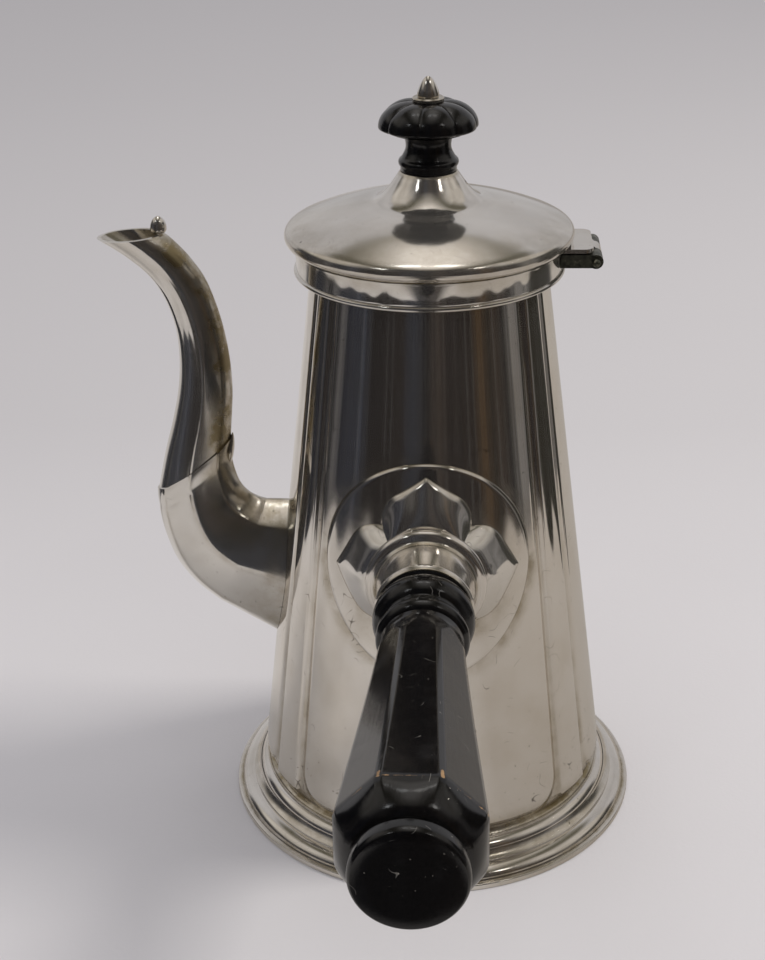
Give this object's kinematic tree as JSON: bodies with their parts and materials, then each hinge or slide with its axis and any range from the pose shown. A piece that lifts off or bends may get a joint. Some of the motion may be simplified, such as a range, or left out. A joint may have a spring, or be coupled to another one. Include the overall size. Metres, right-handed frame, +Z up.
{
  "type": "side handled coffee pot",
  "caption": "Tapered, panelled silver-plated coffee pot with a curved spout, a hinged lid with a turned knob, and a faceted dark wooden side handle.",
  "frame": {"origin": "centre of the foot's underside, on the table", "axes": "+Z up, the handle points along -Y, the spout along -X, and the lid hinges on +X"},
  "size_m": [0.1399, 0.2135, 0.2],
  "materials": {
    "silver_plate": "polished silver plate with light tarnish and fine scratches",
    "dark_metal": "dark oxidised plate",
    "ebonised_wood": "glossy ebonised wood, worn on its corners",
    "plain_steel": "plain"
  },
  "bodies": {
    "pot": {"body_shell": "silver_plate", "bottom_plate": "silver_plate", "foot_ring": "silver_plate", "collar_band": "silver_plate", "collar_wire": "silver_plate", "spout_root": "silver_plate", "spout_neck": "silver_plate", "spout_leaf": "silver_plate", "spout_bud": "silver_plate", "hinge_bracket": "dark_metal", "hinge_pin": "dark_metal", "handle_plate": "silver_plate", "handle_calyx": "silver_plate", "handle_ring": "silver_plate", "handle_ferrule": "silver_plate", "handle_grip": "ebonised_wood", "handle_cross_pin": "silver_plate"},
    "lid": {"lid_dome": "silver_plate", "lid_bezel": "silver_plate", "hinge_lid_leaf": "silver_plate", "knob_grip": "ebonised_wood", "knob_washer": "silver_plate", "knob_cone_nut": "silver_plate", "knob_stud": "plain_steel", "knob_under_washer": "plain_steel", "knob_lock_nut": "plain_steel"}
  },
  "joints": [
    {"name": "lid_hinge", "type": "hinge", "parent": "pot", "child": "lid", "pos_m": [0.0412, 0, 0.1562], "axis": [0, 1, 0], "range_deg": [0, 105]}
  ]
}
